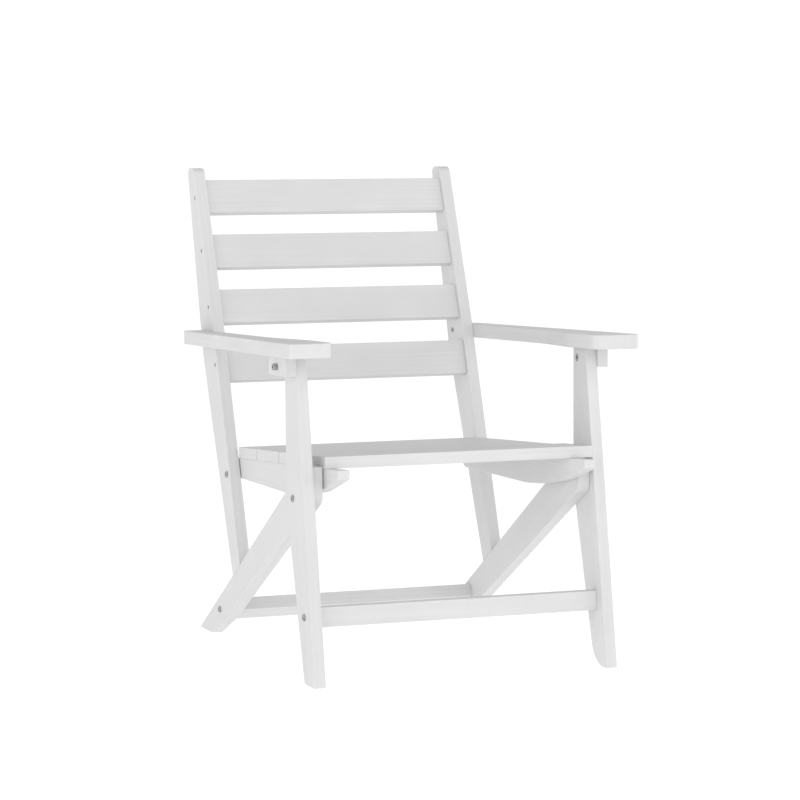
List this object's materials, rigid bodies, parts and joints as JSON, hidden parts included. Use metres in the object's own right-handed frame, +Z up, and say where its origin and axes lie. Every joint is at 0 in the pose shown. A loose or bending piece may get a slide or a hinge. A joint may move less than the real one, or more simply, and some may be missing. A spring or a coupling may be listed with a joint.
{
  "type": "adirondack chair",
  "caption": "Painted wooden garden armchair with a slatted leaning back, a low sloping slatted seat, flat tapered armrests and slanting rear legs.",
  "frame": {"origin": "on the floor under the middle of the bounding box", "axes": "+X towards the sitter's left, the sitter faces -Y, +Z up"},
  "size_m": [0.6574, 0.7911, 0.892],
  "materials": {
    "painted_wood": "satin white paint",
    "steel": "satin",
    "spacer": "matte",
    "bare_wood": "bare"
  },
  "bodies": {
    "root": {"left_upright": "painted_wood", "right_upright": "painted_wood", "back_slat_1": "painted_wood", "back_slat_2": "painted_wood", "back_slat_3": "painted_wood", "back_slat_4": "painted_wood", "left_rear_leg": "painted_wood", "right_rear_leg": "painted_wood", "left_front_leg": "painted_wood", "right_front_leg": "painted_wood", "left_seat_rail": "painted_wood", "right_seat_rail": "painted_wood", "seat_slat_1": "painted_wood", "seat_slat_2": "painted_wood", "seat_slat_3": "painted_wood", "seat_slat_4": "painted_wood", "left_armrest": "painted_wood", "right_armrest": "painted_wood", "left_arm_cleat": "painted_wood", "right_arm_cleat": "painted_wood", "front_stretcher": "painted_wood", "rear_stretcher": "painted_wood", "slat_screws": "steel", "seat_screws": "steel", "rail_bolts": "steel", "leg_bolts": "steel", "cleat_bolts": "steel", "cleat_nuts": "steel", "arm_bolts": "steel", "arm_screws": "steel", "front_stretcher_bolts": "steel", "rear_stretcher_bolts": "steel", "rail_spacers": "spacer", "rail_dowels": "bare_wood"}
  },
  "joints": []
}
